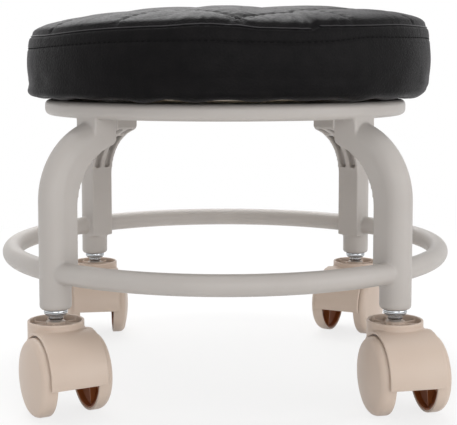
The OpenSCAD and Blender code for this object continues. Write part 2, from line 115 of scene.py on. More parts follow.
FLOOR_HALF = 6.0
floor_mesh = bpy.data.meshes.new("floor")
floor_mesh.from_pydata([(x * FLOOR_HALF, y * FLOOR_HALF, 0)
                        for x, y in ((-1, -1), (1, -1), (1, 1), (-1, 1))], [], [(0, 1, 2, 3)])
floor = bpy.data.objects.new("floor", floor_mesh)
scene.collection.objects.link(floor)
# White paper, which glows a little to the eye so that only the shadow shows, and runs to
# the plain white of the room away from the seat. Distances are in metres.
SHADOW_NEAR, SHADOW_FAR = 0.22, 0.75
PAPER_GLOW = 0.78
white_paper, tree, place = new_material("white_paper")
away = add(tree, "ShaderNodeVectorMath", {0: place}, operation="LENGTH")
fade = add(tree, "ShaderNodeMapRange", {
    "Value": away.outputs["Value"], "From Min": SHADOW_NEAR, "From Max": SHADOW_FAR,
    "To Min": PAPER_GLOW, "To Max": 1.0}, interpolation_type="SMOOTHSTEP")
share = add(tree, "ShaderNodeMath", {0: fade.outputs[0], 1: seen_rays(tree)}, operation="MULTIPLY")
matt = add(tree, "ShaderNodeBsdfPrincipled", {"Base Color": linear("#f4f4f4"), "Roughness": 0.8})
glow = add(tree, "ShaderNodeEmission", {"Color": (1, 1, 1, 1), "Strength": 1.0})
paper = add(tree, "ShaderNodeMixShader", {0: share.outputs[0], 1: matt.outputs[0],
                                          2: glow.outputs[0]})
add(tree, "ShaderNodeOutputMaterial", {"Surface": paper.outputs[0]})
floor_mesh.materials.append(white_paper)

LAMPS_AIM_AT = Vector((0, 0, 0.12))


def soft_lamp(name, place, size, watts):
    """A square soft box that faces the middle of the seat. Its place and size are in metres."""
    lamp = bpy.data.lights.new(name, "AREA")
    lamp.size = size
    lamp.energy = watts
    lamp_object = bpy.data.objects.new(name, lamp)
    lamp_object.location = place
    aim = LAMPS_AIM_AT - Vector(place)
    lamp_object.rotation_euler = aim.to_track_quat("-Z", "Y").to_euler()
    scene.collection.objects.link(lamp_object)


soft_lamp("lamp_left", (-1.6, -0.9, 1.2), 1.4, 2)
soft_lamp("lamp_right", (1.5, -0.95, 0.4), 1.2, 9)
soft_lamp("lamp_front", (0.2, -2.4, 0.5), 1.6, 14)
soft_lamp("lamp_behind", (-0.3, 1.5, 1.5), 1.3, 16)
soft_lamp("lamp_above", (-0.1, 0.3, 1.9), 1.2, 16)


# The base moulding: deck, four bent legs with their gussets, and the foot ring, shot in one
# piece of warm grey polypropylene. Every edge and every joint of it is softly rounded.
CORNERS = ("front_left", "front_right", "rear_left", "rear_right")
BASE_NODES = ["base_deck", "foot_ring"] + [corner + "_leg" for corner in CORNERS]
BASE_VOXEL = 0.9 * MM
BASE_SOFTENING = 3


def new_piece(name, mesh):
    """Puts a mesh into the scene as a piece, smooth all over."""
    mesh.shade_smooth()
    piece = bpy.data.objects.new(name, mesh)
    scene.collection.objects.link(piece)
    return piece


def new_mesh(name, made):
    """A mesh of what was made in bmesh."""
    mesh = bpy.data.meshes.new(name)
    made.to_mesh(mesh)
    made.free()
    return mesh


def copied(name, node_names):
    """One mesh with the faces of several CAD nodes, which stay as they are."""
    made = bmesh.new()
    for node_name in node_names:
        made.from_mesh(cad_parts[node_name].data)
    return new_mesh(name, made)


def settle(piece):
    """Works the piece's modifiers into its mesh."""
    graph = bpy.context.evaluated_depsgraph_get()
    mesh = bpy.data.meshes.new_from_object(piece.evaluated_get(graph))
    piece.modifiers.clear()
    piece.data = mesh
    mesh.shade_smooth()


def even_out(piece, voxel):
    """Sets the piece to be remeshed evenly, as one skin."""
    evened = piece.modifiers.new("even", "REMESH")
    evened.mode = "VOXEL"
    evened.voxel_size = voxel


def softened(piece, voxel, passes):
    """Remeshes the piece and rounds its edges and inner corners."""
    even_out(piece, voxel)
    rounded = piece.modifiers.new("soften", "SMOOTH")
    rounded.factor = 0.5
    rounded.iterations = passes
    settle(piece)
    return piece


# How wide the flow clouds in moulded plastic are in mm, and how sharp an edge is where
# handling starts to rub it and where it is rubbed in full
FLOW_CLOUD = 38
RUB_STARTS, RUB_FULL = 0.52, 0.62
# How much of the rubbed colour shows there, and in the clouds
RUBBED_SHARE, CLOUD_SHARE = 0.55, 0.28


def moulded_plastic(name, body, rubbed, grain, grain_depth, roughness):
    """Injection-moulded plastic: faint flow clouds, a fine grain from the steel mould, and
    edges that handling has rubbed paler. Grain sizes are in mm."""
    plastic, tree, place = new_material(name)
    clouds = add(tree, "ShaderNodeTexNoise", {"Vector": place, "Scale": 1 / (FLOW_CLOUD * MM),
                                              "Detail": 2.0})
    shape = add(tree, "ShaderNodeNewGeometry")
    edge = add(tree, "ShaderNodeMapRange", {"Value": shape.outputs["Pointiness"],
                                            "From Min": RUB_STARTS, "From Max": RUB_FULL,
                                            "To Max": RUBBED_SHARE})
    mixed = add(tree, "ShaderNodeMapRange", {"Value": clouds.outputs["Fac"], "From Min": 0.3,
                                             "From Max": 0.7, "To Max": CLOUD_SHARE})
    share = add(tree, "ShaderNodeMath", {0: edge.outputs[0], 1: mixed.outputs[0]},
                operation="ADD", use_clamp=True)
    colour = add(tree, "ShaderNodeMixRGB", {"Fac": share.outputs[0], "Color1": linear(body),
                                            "Color2": linear(rubbed)})
    speck = add(tree, "ShaderNodeTexNoise", {"Vector": place, "Scale": 1 / (grain * MM),
                                             "Detail": 3.0})
    gloss = add(tree, "ShaderNodeMapRange", {"Value": speck.outputs["Fac"],
                                             "To Min": roughness - 0.08,
                                             "To Max": roughness + 0.1})
    grained = add(tree, "ShaderNodeBump", {"Height": speck.outputs["Fac"], "Strength": 0.35,
                                           "Distance": grain_depth * MM})
    sunk = add(tree, "ShaderNodeBump", {"Height": clouds.outputs["Fac"], "Strength": 0.5,
                                        "Distance": 0.5 * MM, "Normal": grained.outputs[0]})
    shader = add(tree, "ShaderNodeBsdfPrincipled", {
        "Base Color": colour.outputs[0], "Roughness": gloss.outputs[0], "Normal": sunk.outputs[0],
        "IOR": 1.49, "Subsurface Weight": 0.06, "Subsurface Scale": 2 * MM,
        "Subsurface Radius": (1.0, 0.8, 0.6)})
    add(tree, "ShaderNodeOutputMaterial", {"Surface": shader.outputs[0]})
    return plastic


# Polypropylene from a spark-eroded mould: satin, with a grain that softens every highlight.
# The real grain is near 0.1 mm; it is drawn ten times coarser so that it shows.
grey_polypropylene = moulded_plastic("grey_polypropylene", "#b3ada8", "#c2bdb8", 1.0, 0.05, 0.44)

base = new_piece("base_moulding", copied("base_moulding", BASE_NODES))
softened(base, BASE_VOXEL, BASE_SOFTENING)
base.data.materials.clear()
base.data.materials.append(grey_polypropylene)
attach(base, "seat_base")
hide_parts(*BASE_NODES)


# The seat board: a round of birch plywood that closes the cushion below. Four M6 screws from
# under the deck go through plain washers into tee nuts that are driven into its top.
def finish_node(node_name, material):
    """Gives a CAD node its material."""
    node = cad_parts[node_name]
    node.data.materials.clear()
    node.data.materials.append(material)


# Rotary-cut birch veneer: pale, with long soft grain and a few darker growth lines. A
# figure of the grain is this long, wide and deep in mm.
VENEER_FIGURE = (90, 7, 3)
birch_plywood, tree, place = new_material("birch_plywood")
along = add(tree, "ShaderNodeMapping", {"Vector": place,
                                        "Scale": [1 / (size * MM) for size in VENEER_FIGURE]})
figure = add(tree, "ShaderNodeTexNoise", {"Vector": along.outputs[0], "Scale": 1.0, "Detail": 5.0,
                                          "Distortion": 0.6})
pores = add(tree, "ShaderNodeTexNoise", {"Vector": along.outputs[0], "Scale": 9.0, "Detail": 2.0})
shade = add(tree, "ShaderNodeMapRange", {"Value": figure.outputs["Fac"], "From Min": 0.35,
                                         "From Max": 0.68})
wood = add(tree, "ShaderNodeMixRGB", {"Fac": shade.outputs[0], "Color1": linear("#d6c7ac"),
                                      "Color2": linear("#b39c78")})
cut = add(tree, "ShaderNodeBump", {"Height": pores.outputs["Fac"], "Strength": 0.5,
                                   "Distance": 0.15 * MM})
shader = add(tree, "ShaderNodeBsdfPrincipled", {"Base Color": wood.outputs[0], "Roughness": 0.72,
                                                "Normal": cut.outputs[0]})
add(tree, "ShaderNodeOutputMaterial", {"Surface": shader.outputs[0]})
finish_node("seat_board", birch_plywood)


def plated_steel(name, colour, tarnish, roughness, painted_dark_bands=()):
    """Steel with a thin plating: mirror-like but a little uneven, duller in small clouds.
    Painted dark bands may lie along turned corners: shade and dark reflections painted into the
    colour, each given by its height and half width in mm."""
    steel, tree, place = new_material(name)
    bloom = add(tree, "ShaderNodeTexNoise", {"Vector": place, "Scale": 1 / (4 * MM),
                                             "Detail": 4.0})
    fine = add(tree, "ShaderNodeTexNoise", {"Vector": place, "Scale": 1 / (0.6 * MM),
                                            "Detail": 2.0})
    tone = add(tree, "ShaderNodeMixRGB", {"Fac": bloom.outputs["Fac"], "Color1": linear(colour),
                                          "Color2": linear(tarnish)})
    # Each band paints shade and a dark reflection into the colour at one height of the turning.
    for line, half_width in painted_dark_bands:
        height = add(tree, "ShaderNodeSeparateXYZ", {0: place}).outputs["Z"]
        above = add(tree, "ShaderNodeMath", {0: height, 1: line * MM}, operation="SUBTRACT")
        away = add(tree, "ShaderNodeMath", {0: above.outputs[0]}, operation="ABSOLUTE")
        painted_band = add(tree, "ShaderNodeMapRange", {
            "Value": away.outputs[0], "From Max": half_width * MM, "To Min": 1.0, "To Max": 0.0},
            interpolation_type="SMOOTHSTEP")
        tone = add(tree, "ShaderNodeMixRGB", {"Fac": painted_band.outputs[0], "Color1": tone.outputs[0],
                                              "Color2": linear("#1d1c1b")})
    gloss = add(tree, "ShaderNodeMapRange", {"Value": bloom.outputs["Fac"], "From Min": 0.3,
                                             "From Max": 0.75, "To Min": roughness,
                                             "To Max": roughness + 0.16})
    dent = add(tree, "ShaderNodeBump", {"Height": fine.outputs["Fac"], "Strength": 0.25,
                                        "Distance": 0.04 * MM})
    shader = add(tree, "ShaderNodeBsdfPrincipled", {
        "Base Color": tone.outputs[0], "Metallic": 1.0, "Roughness": gloss.outputs[0],
        "Normal": dent.outputs[0]})
    add(tree, "ShaderNodeOutputMaterial", {"Surface": shader.outputs[0]})
    return steel


# Bright zinc plate: a cool, nearly white metal with a faint bloom.
bright_zinc = plated_steel("bright_zinc_plate", "#d4d7da", "#b4b8ba", 0.16)
# Oiled spring steel: darker and a little bluish.
spring_steel = plated_steel("oiled_spring_steel", "#8d9298", "#6d7076", 0.3)
# Galvanised staple wire: dull and even.
galvanised_wire = plated_steel("galvanised_wire", "#b9bcc0", "#9a9da1", 0.38)
for node_name in ("tee_nuts", "seat_bolts", "seat_washers"):
    finish_node(node_name, bright_zinc)
finish_node("cover_staples", galvanised_wire)


# The cushion: foam on the board under a cover of black leatherette, quilted to a wadding in
# diamonds. A side band is sewn to the crown, topstitched below the seam, and its hem is
# gathered under the board and stapled there. Sizes in this section are in mm.
SEAT_R = 147.0
SEAM_R = 142.8
SEAM_IN = SEAT_R - SEAM_R
HEM_IN = 3.6  # how far the side draws in at its foot
HEM_Z = 200.1
EDGE_Z = 205.2  # the side ends here and turns under
FLAT_R = 138.4  # the hem lies flat from here inwards
HEM_HOLE_R = 114.4
BOARD_UNDER = 201.3
INSIDE_Z = 206.0  # the skin closes here, inside the board
SEAM_Z = 245.5
CROWN_H = 16.6
CUSHION_SHIFT = 2.6  # to the right of the base's middle, as in the photograph
AROUND = 720  # points round each ring of the cover

# Heights of the top seam and of the topstitching round the cushion, by the angle from its
# front. Both climb to the right, and the band is joined at the front, right of the middle.
SEAM_TABLE = [(-180, 245.6), (-120, 243.0), (-63, 241.4), (-19, 245.2), (-6, 246.6), (1, 245.9),
              (8, 244.3), (20.6, 243.8), (22.6, 245.7), (55, 247.9), (90, 248.1), (130, 246.8),
              (180, 245.6)]
STITCH_TABLE = [(-180, 236.4), (-120, 234.2), (-70, 232.8), (-19, 236.2), (-6, 236.3), (3, 235.5),
                (16, 235.0), (21, 235.6), (42, 239.3), (70, 240.0), (120, 238.4), (180, 236.4)]
# How square the crown's shoulder is round the cushion: the wadding is packed unevenly. In
# the crown's middle it is evenly round.
SHOULDER_TABLE = [(-180, 2.6), (-85, 3.4), (-48, 3.4), (-36, 3.1), (-24, 2.6), (0, 2.5), (18, 2.6),
                  (36, 3.2), (58, 4.2), (90, 4.8), (130, 3.6), (180, 2.6)]
MIDDLE_ROUND = 2.5


def between(table, angle):
    """The height at an angle, eased from one entry of the table to the next."""
    for (low, start), (high, end) in zip(table, table[1:]):
        if angle <= high:
            share = (angle - low) / (high - low)
            return start + (end - start) * share * share * (3 - 2 * share)


def form(part, share, angle):
    """Radius and height of the cushion's outside: a share of the way down one of its parts."""
    seam, stitch = between(SEAM_TABLE, angle), between(STITCH_TABLE, angle)
    if part == "crown":
        lean = (seam - SEAM_Z) * share ** 2
        shoulder = MIDDLE_ROUND + (between(SHOULDER_TABLE, angle) - MIDDLE_ROUND) * share
        rise = CROWN_H * math.sqrt(max(0.0, 1 - share ** shoulder))
        return SEAM_R * share, SEAM_Z + lean + rise
    if part == "underside":
        return FLAT_R + (HEM_HOLE_R - FLAT_R) * share, HEM_Z
    heights = {"band": seam + (stitch - seam) * share, "side": stitch + (EDGE_Z - stitch) * share}
    z = heights.get(part, EDGE_Z)
    level = (z - HEM_Z) / (seam - HEM_Z)
    radius = SEAT_R - HEM_IN * max(0.0, 1 - 2 * level) ** 2 - SEAM_IN * max(0.0, 2 * level - 1) ** 3
    if part == "edge":
        turn = math.radians(90 * share)
        under = (EDGE_Z - HEM_Z) * math.sin(turn)
        return FLAT_R + (radius - FLAT_R) * math.cos(turn), EDGE_Z - under
    return radius, z


# A form that lies inward does so in full from this radius on, and less towards the middle
INWARD_FROM_R = 60


def ring_grid(stations, around, inward=0.0, sunk=0.0):
    """Points of the form as an array of rings, from the crown's middle to the hem."""
    rings = []
    for part, share in stations:
        ring = []
        for k in range(around):
            angle = (k + 0.5) * 360 / around - 180
            radius, z = form(part, share, angle)
            radius = max(0.2, radius - inward * min(1, radius / INWARD_FROM_R))
            height = z - sunk if part == "crown" else z
            turn = math.radians(angle)
            ring.append((radius * math.sin(turn), -radius * math.cos(turn), height))
        rings.append(ring)
    return np.array(rings)


def ring_mesh(name, points, bottom_z):
    """A closed skin over rings of points in mm, with a point to close the crown and one below."""
    rings, around = points.shape[:2]
    flat = [tuple(p) for p in points.reshape(-1, 3) * MM]
    top = (0, 0, float(points[0, :, 2].mean()) * MM)
    last = rings * around
    faces = []
    for start in range(0, last - around, around):
        below = start + around
        for k in range(around):
            n = (k + 1) % around
            faces.append((start + k, below + k, below + n, start + n))
    for k in range(around):
        n = (k + 1) % around
        faces.append((k, n, last))
        faces.append((last - around + n, last - around + k, last + 1))
    mesh = bpy.data.meshes.new(name)
    mesh.from_pydata(flat + [top, (0, 0, bottom_z * MM)], [], faces)
    return mesh


# The quilting: straight sewn lines both ways across the crown. Each way has its direction
# in degrees and its distance from the middle.
QUILT_PITCH = 64.5
QUILT_WAYS = ((45.0, 29.2), (135.0, 28.4))


def quilt_offsets(x, y):
    """For each way of the quilting: signed distance to the nearest line, and place along it."""
    found = []
    for degrees, shift in QUILT_WAYS:
        cosine, sine = math.cos(math.radians(degrees)), math.sin(math.radians(degrees))
        across = cosine * y - sine * x - shift
        across = across - QUILT_PITCH * np.round(across / QUILT_PITCH)
        found.append((across, cosine * x + sine * y))
    return found


def steps(part, count):
    """A part of the form in even steps, as shares of the way down it."""
    return [(part, step / count) for step in range(1, count + 1)]


# Sewn cloth is blown up between its seams from a slightly smaller form. Near a seam it is
# held in full, and farther out it is free.
CLOTH_VOXEL = 4.5 * MM
CLOTH_STEPS = 20
CLOTH_PRESSURE = 4
CLOTH_CUT_LARGE = 0.02
CLOTH_CAP = 5.2  # no point swells farther
START_IN = 2.4
START_SUNK = 2.2
START_AROUND = 120
QUILT_ENDS_IN = 1.5
HELD_TO = 2.6
FREE_FROM = 4.5
coarse = steps("crown", 24) + steps("band", 2) + steps("side", 7) + steps("edge", 2) \
    + steps("underside", 1)
start_points = ring_grid(coarse, START_AROUND, START_IN, START_SUNK)
blown = new_piece("blown_cover", ring_mesh("blown_cover", start_points, HEM_Z))
even_out(blown, CLOTH_VOXEL)
settle(blown)


def seam_distance(x, y, z):
    """Distance in mm from a point of the cover to its nearest sewn line. The hem is held."""
    if z < EDGE_Z:
        return 0.0
    angle = math.degrees(math.atan2(x, -y))
    radius = math.hypot(x, y)
    away = min(abs(z - between(STITCH_TABLE, angle)),
               math.hypot(z - between(SEAM_TABLE, angle), radius - SEAM_R))
    if radius > SEAM_R - QUILT_ENDS_IN or z < SEAM_Z:
        return away
    return min([away] + [abs(float(across)) for across, along in quilt_offsets(x, y)])


start = [vertex.co.copy() for vertex in blown.data.vertices]
sewn = blown.vertex_groups.new(name="sewn")
for index, co in enumerate(start):
    away = seam_distance(*(co / MM))
    if away < FREE_FROM:
        sewn.add([index], min(1.0, (FREE_FROM - away) / (FREE_FROM - HELD_TO)), "REPLACE")
cloth = blown.modifiers.new("cloth", "CLOTH").settings
cloth.vertex_group_mass = "sewn"
cloth.use_pressure = True
cloth.uniform_pressure_force = CLOTH_PRESSURE
cloth.effector_weights.gravity = 0
cloth.shrink_min = -CLOTH_CUT_LARGE
for step in range(1, CLOTH_STEPS + 1):
    scene.frame_set(step)
graph = bpy.context.evaluated_depsgraph_get()
puffed = bpy.data.meshes.new_from_object(blown.evaluated_get(graph))
blown.modifiers.clear()
scene.frame_set(1)
for vertex, old, new in zip(blown.data.vertices, start, puffed.vertices):
    move = new.co - old
    if move.length > CLOTH_CAP * MM:
        move.length = CLOTH_CAP * MM
    vertex.co = old + move
blown.modifiers.new("finer", "SUBSURF").levels = 1
settle(blown)

CROWN_RINGS = 98
BAND_RINGS = 12
SEAM_RING = CROWN_RINGS - 1
STITCH_RING = SEAM_RING + BAND_RINGS
stations = steps("crown", CROWN_RINGS) + steps("band", BAND_RINGS) + steps("side", 30) \
    + steps("edge", 7) + steps("underside", 14)
points = ring_grid(stations, AROUND)
form_mesh = ring_mesh("cushion_form", points, INSIDE_Z)
normals = np.zeros(len(form_mesh.vertices) * 3, np.float32)
form_mesh.vertices.foreach_get("normal", normals)
normals = normals.reshape(-1, 3)[:-2].reshape(points.shape)
bpy.data.meshes.remove(form_mesh)

# How far the cloth has blown out from where it started, along the form's own normals: a
# ray looks for it from well inside. The result is smoothed.
LOOK_FROM = 9
LOOK_FAR = 20
PUFF_SMOOTHING = 4
graph = bpy.context.evaluated_depsgraph_get()
skin = BVHTree.FromObject(blown, graph)
proud = np.zeros(points.shape[:2])
for i, (part, share) in enumerate(stations):
    if part == "underside":
        continue
    for k in range(AROUND):
        normal = Vector(normals[i, k])
        inside = (Vector(points[i, k]) - LOOK_FROM * normal) * MM
        hit = skin.ray_cast(inside, normal, LOOK_FAR * MM)
        if hit[0] is not None:
            proud[i, k] = hit[3] / MM - LOOK_FROM
for turn in range(PUFF_SMOOTHING):
    rows = np.vstack([proud[:1], proud, proud[-1:]])
    beside = np.roll(proud, 1, 1) + np.roll(proud, -1, 1)
    proud = (rows[:-2] + rows[2:] + beside + 2 * proud) / 6
bpy.data.objects.remove(blown)


def wavy(points, size, seed):
    """Smooth noise from -1 to 1 at each point, with features of about a size in mm."""
    offset = Vector((seed, -seed, seed * 0.5))
    found = [noise.noise(Vector(p) / size + offset) for p in points.reshape(-1, 3)]
    return np.array(found).reshape(points.shape[:2])


def groove(distance, width, depth=1.0):
    """A depth on a line, falling off to either side of it."""
    return depth * np.exp(-(distance / width) ** 2)


def puckers(along, beside, height, pitch, drift, width):
    """Waves along a line, which fade out beside it. The drift makes their pitch uneven."""
    return height * np.cos(along * 2 * np.pi / pitch + drift) * groove(beside, width)


# The wadding holds the cloth back: the share of its swell that shows, and how far the form
# lies behind it on the side and on the crown
CROWN_PUFF = 0.44
SIDE_PUFF = 0.2
SIDE_IN = 1.5
QUILT_SUNK = 1.4
# Broad and narrow unevenness of the filling
BROAD_SWELL, NARROW_SWELL = 0.35, 0.1
# How near the top seam the cloth is held down, on the crown and below, and the height over
# which the hem holds it
HELD_ABOVE, HELD_BELOW = 2.4, 6.0
FOOT_H = EDGE_Z + 8 - HEM_Z
parts = np.array([part for part, share in stations])[:, None]
on_crown, under = parts == "crown", parts == "underside"
on_side = ~on_crown & ~under
angles = (np.arange(AROUND) + 0.5) * 360 / AROUND - 180
turns = np.radians(angles)
seam_line = np.array([between(SEAM_TABLE, angle) for angle in angles])
stitch_line = np.array([between(STITCH_TABLE, angle) for angle in angles])
x, y, z = points[..., 0], points[..., 1], points[..., 2]
radius = np.hypot(x, y)
run = turns * SEAT_R
broad, narrow = wavy(points, size=38, seed=3.1), wavy(points, size=11, seed=7.7)
streak = wavy(points[STITCH_RING:STITCH_RING + 1], size=17, seed=1.3)
# The start lies inside the form by this much, measured along the form's normals
level_out = (normals[..., 0] * x + normals[..., 1] * y) / radius
started_in = START_IN * np.minimum(1, radius / INWARD_FROM_R) * level_out \
    + on_crown * START_SUNK * normals[..., 2]

puff = np.clip(proud + started_in, 0, CLOTH_CAP)
packed = on_crown * (1 - np.clip(radius / SEAM_R, 0, 1) ** 6)
from_seam = np.where(on_crown, SEAM_R - radius, seam_line - z)
from_stitch = z - stitch_line
free = 1 - groove(from_seam, np.where(on_crown, HELD_ABOVE, HELD_BELOW))
above_edge = np.clip((z - HEM_Z) / FOOT_H, 0, 1)
relief = puff * free * np.where(on_crown, CROWN_PUFF, SIDE_PUFF) - QUILT_SUNK * packed
relief -= SIDE_IN * free * above_edge * on_side
relief += (BROAD_SWELL * broad + NARROW_SWELL * narrow) * above_edge
# The thread draws each sewn line in, and the cloth puckers and tucks beside it
relief -= groove(from_seam, width=1.3, depth=0.8)
relief -= groove(from_stitch, width=1.0, depth=0.6) * ~on_crown
relief += ~on_crown * puckers(run, from_stitch + 1.6, height=0.05, pitch=7.6, drift=3 * streak,
                              width=2.2)
relief += ~on_crown * puckers(run, from_seam - 3.0, height=0.06, pitch=10.5, drift=6 * streak,
                              width=3.0)
# Longer tucks over the seam at the front, where the band is joined
tucked = on_crown * groove(angles - 8.0, width=34.0)
relief += tucked * puckers(run, from_seam - 5.0, height=0.3 + 0.5 * broad, pitch=10.5,
                           drift=6 * streak, width=6.5)
for across, along in quilt_offsets(x, y):
    quilted = on_crown * (SEAM_R - radius > 0.5)
    relief -= quilted * (groove(across, width=1.2, depth=1.0) + groove(across, width=5.5, depth=0.3))
    relief += quilted * puckers(along, np.abs(across) - 3.2, height=0.22, pitch=8.5,
                                drift=4 * broad, width=3.0)
# Upright folds in the side where the hem is gathered. The gathers hang under the edge
# between the staples, which hold the hem flat. No two are the same size.
STAPLES = 24
FOLD_DEPTH = 0.9
GATHER_HANG = 2.0
GATHER_R = 134.0
GATHER_WAVES = 3.1
GATHER_SEED = 9.4
uneven = [noise.noise(Vector((math.cos(turn) * GATHER_WAVES, math.sin(turn) * GATHER_WAVES,
                              GATHER_SEED))) for turn in turns]
gather_size = 0.55 + 0.75 * (np.array(uneven) + 0.5)
gather = 0.5 - 0.5 * np.cos(turns * STAPLES)
hem_pull = groove(z - EDGE_Z - 2, width=7.0) * above_edge * on_side
relief -= hem_pull * FOLD_DEPTH * (1 - gather) * gather_size
points = points + normals * relief[..., None]
hang = groove(radius - GATHER_R, width=7.5) * (under | (parts == "edge"))
points[..., 2] -= hang * GATHER_HANG * gather * gather_size
# Inside the hem's cut edge the skin steps up into the board. Only the hem itself stays in
# the base's middle, and the shift comes in above it.
SHIFT_H = 8
step_r = HEM_HOLE_R - 0.2
step_up = [[(step_r * math.sin(turn), -step_r * math.cos(turn), height) for turn in turns]
           for height in (BOARD_UNDER - 0.5, INSIDE_Z)]
points = np.concatenate([points, np.array(step_up)])
points[..., 0] += CUSHION_SHIFT * np.clip((points[..., 2] - HEM_Z) / SHIFT_H, 0, 1)
cover_mesh = ring_mesh("cushion_cover", points, INSIDE_Z)
cushion = new_piece("cushion_cover", cover_mesh)

# Leatherette: cloth with a thin coat of soft PVC, embossed with a pebble grain. It gives
# near black from the front and a broad grey sheen along the crown. Grain sizes are in mm.
PEBBLE = 1.3
CREASE = 3.4
black_leatherette, tree, place = new_material("black_leatherette")
pebble = add(tree, "ShaderNodeTexVoronoi", {"Vector": place, "Scale": 1 / (PEBBLE * MM),
                                            "Smoothness": 0.35}, feature="SMOOTH_F1")
crease = add(tree, "ShaderNodeTexVoronoi", {"Vector": place, "Scale": 1 / (CREASE * MM)},
             feature="DISTANCE_TO_EDGE")
crease_low = add(tree, "ShaderNodeMapRange", {"Value": crease.outputs["Distance"],
                                              "From Max": 0.12})
soft = add(tree, "ShaderNodeTexNoise", {"Vector": place, "Scale": 1 / (9 * MM), "Detail": 4.0})
tone = add(tree, "ShaderNodeMapRange", {"Value": soft.outputs["Fac"], "From Min": 0.3,
                                        "From Max": 0.75})
coat = add(tree, "ShaderNodeMixRGB", {"Fac": tone.outputs[0], "Color1": linear("#080708"),
                                      "Color2": linear("#100e0f")})
gloss = add(tree, "ShaderNodeMapRange", {"Value": pebble.outputs["Distance"], "To Min": 0.4,
                                         "To Max": 0.56})
grained = add(tree, "ShaderNodeBump", {"Height": pebble.outputs["Distance"], "Strength": 0.8,
                                       "Distance": 0.2 * MM}, invert=True)
creased = add(tree, "ShaderNodeBump", {"Height": crease_low.outputs[0], "Strength": 0.35,
                                       "Distance": 0.1 * MM, "Normal": grained.outputs[0]})
shader = add(tree, "ShaderNodeBsdfPrincipled", {
    "Base Color": coat.outputs[0], "Roughness": gloss.outputs[0], "Normal": creased.outputs[0],
    "IOR": 1.5, "Specular IOR Level": 0.08, "Sheen Weight": 0.05, "Sheen Roughness": 0.25,
    "Sheen Tint": linear("#cfc4d2")})
add(tree, "ShaderNodeOutputMaterial", {"Surface": shader.outputs[0]})
cover_mesh.materials.append(black_leatherette)
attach(cushion, "seat_base")
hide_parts("seat_cover", "cover_hem", "seat_foam")

# The folded lip of the top seam: the crown's cut edge turned over the band, a thin line
# all round, drawn bright with a painted highlight. Its two ends meet at the front with the band's
# join.
LIP_R = 0.42
LIP_SIDES = 8
LIP_END = 0.45  # how thick its ends are, as a share of the rest
LIP_OUT = 0.3
LIP_GAP = (21.2, 22.4)  # in degrees from the front


def ring_of(made, middle, radius, side, up, sides):
    """Adds a ring of vertices round a point in mm."""
    around = [2 * math.pi * k / sides for k in range(sides)]
    return [made.verts.new((middle + radius * (math.cos(t) * side + math.sin(t) * up)) * MM)
            for t in around]


def skin_over(made, rings):
    """Joins rings of vertices to a skin that is closed at both ends."""
    for here, there in zip(rings, rings[1:]):
        for k in range(len(here)):
            n = (k + 1) % len(here)
            made.faces.new((here[k], here[n], there[n], there[k]))
    made.faces.new(list(reversed(rings[0])))
    made.faces.new(rings[-1])


def closed_mesh(name, made):
    """A mesh of closed skins that were made in bmesh, facing outwards."""
    bmesh.ops.recalc_face_normals(made, faces=made.faces)
    return new_mesh(name, made)


def rolled_lip(name, middle, radius, sides):
    """A rolled edge along points in mm, which narrows at its two ends."""
    made = bmesh.new()
    rings = []
    last = len(middle) - 1
    for i, here in enumerate(middle):
        way = (middle[min(i + 1, last)] - middle[max(i - 1, 0)]).normalized()
        side = way.cross(Vector((0, 0, 1))).normalized()
        thick = radius if 0 < i < last else radius * LIP_END
        rings.append(ring_of(made, here, thick, side, side.cross(way), sides))
    skin_over(made, rings)
    return closed_mesh(name, made)


outward = normals[SEAM_RING + 1]
edge = [Vector(points[SEAM_RING, k] + LIP_OUT * outward[k]) for k in range(AROUND)]
after = [edge[k] for k in range(AROUND) if angles[k] > LIP_GAP[1]]
before = [edge[k] for k in range(AROUND) if angles[k] < LIP_GAP[0]]
lip = new_piece("seam_lip", rolled_lip("seam_lip", after + before, LIP_R, LIP_SIDES))
# The same leatherette along its folded edge, greyer and smoother: the grey is a painted highlight,
# the smoothness its own.
leatherette_painted_highlight, tree, place = new_material("leatherette_painted_highlight")
highlight_tone_noise = add(tree, "ShaderNodeTexNoise", {"Vector": place, "Scale": 1 / (14 * MM), "Detail": 3.0})
# These greys, lighter than the cover, are a painted highlight along the folded edge.
tone = add(tree, "ShaderNodeMixRGB", {"Fac": highlight_tone_noise.outputs["Fac"], "Color1": linear("#141314"),
                                      "Color2": linear("#2b282b")})
pebble = add(tree, "ShaderNodeTexVoronoi", {"Vector": place, "Scale": 1 / (1.1 * MM)})
bump = add(tree, "ShaderNodeBump", {"Height": pebble.outputs["Distance"], "Strength": 0.4,
                                    "Distance": 0.1 * MM})
shader = add(tree, "ShaderNodeBsdfPrincipled", {"Base Color": tone.outputs[0], "Roughness": 0.38,
                                                "Normal": bump.outputs[0],
                                                "Specular IOR Level": 0.3})
add(tree, "ShaderNodeOutputMaterial", {"Surface": shader.outputs[0]})
lip.data.materials.append(leatherette_painted_highlight)
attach(lip, "seat_base")

# The thread: bonded polyester, 0.7 mm thick, in 3 mm lockstitches along the topstitching and
# across the crown. Each stitch is a short bead whose ends dive into the cloth.
THREAD_R = 0.36
THREAD_SIDES = 6
STITCH_L = 3.1
STITCH_PITCH = 4.1
STITCH_ENDS = (0, STITCH_L / STITCH_PITCH)
QUILT_STOPS_IN = 3.5
# A bead's shape: share of its length, share of its thickness, height over the cloth in mm
BEAD = ((0, 0.35, -0.25), (0.15, 0.8, 0.02), (0.5, 1.0, 0.16), (0.85, 0.8, 0.02), (1, 0.35, -0.25))
# A stitch's ends are looked for from outside the cushion and from above it
LOOK_FROM_R = 180
LOOK_FROM_Z = 300
LOOK_DOWN = (0, 0, -1)
LOOK_REACH = 200
skin = BVHTree.FromObject(cushion, bpy.context.evaluated_depsgraph_get())


def on_cover(start, way):
    """The point of the cover in mm that a ray from a point in mm meets, and its normal."""
    found = skin.ray_cast(Vector(start) * MM, Vector(way), LOOK_REACH * MM)
    return (found[0] / MM, found[1]) if found[0] is not None else (None, None)


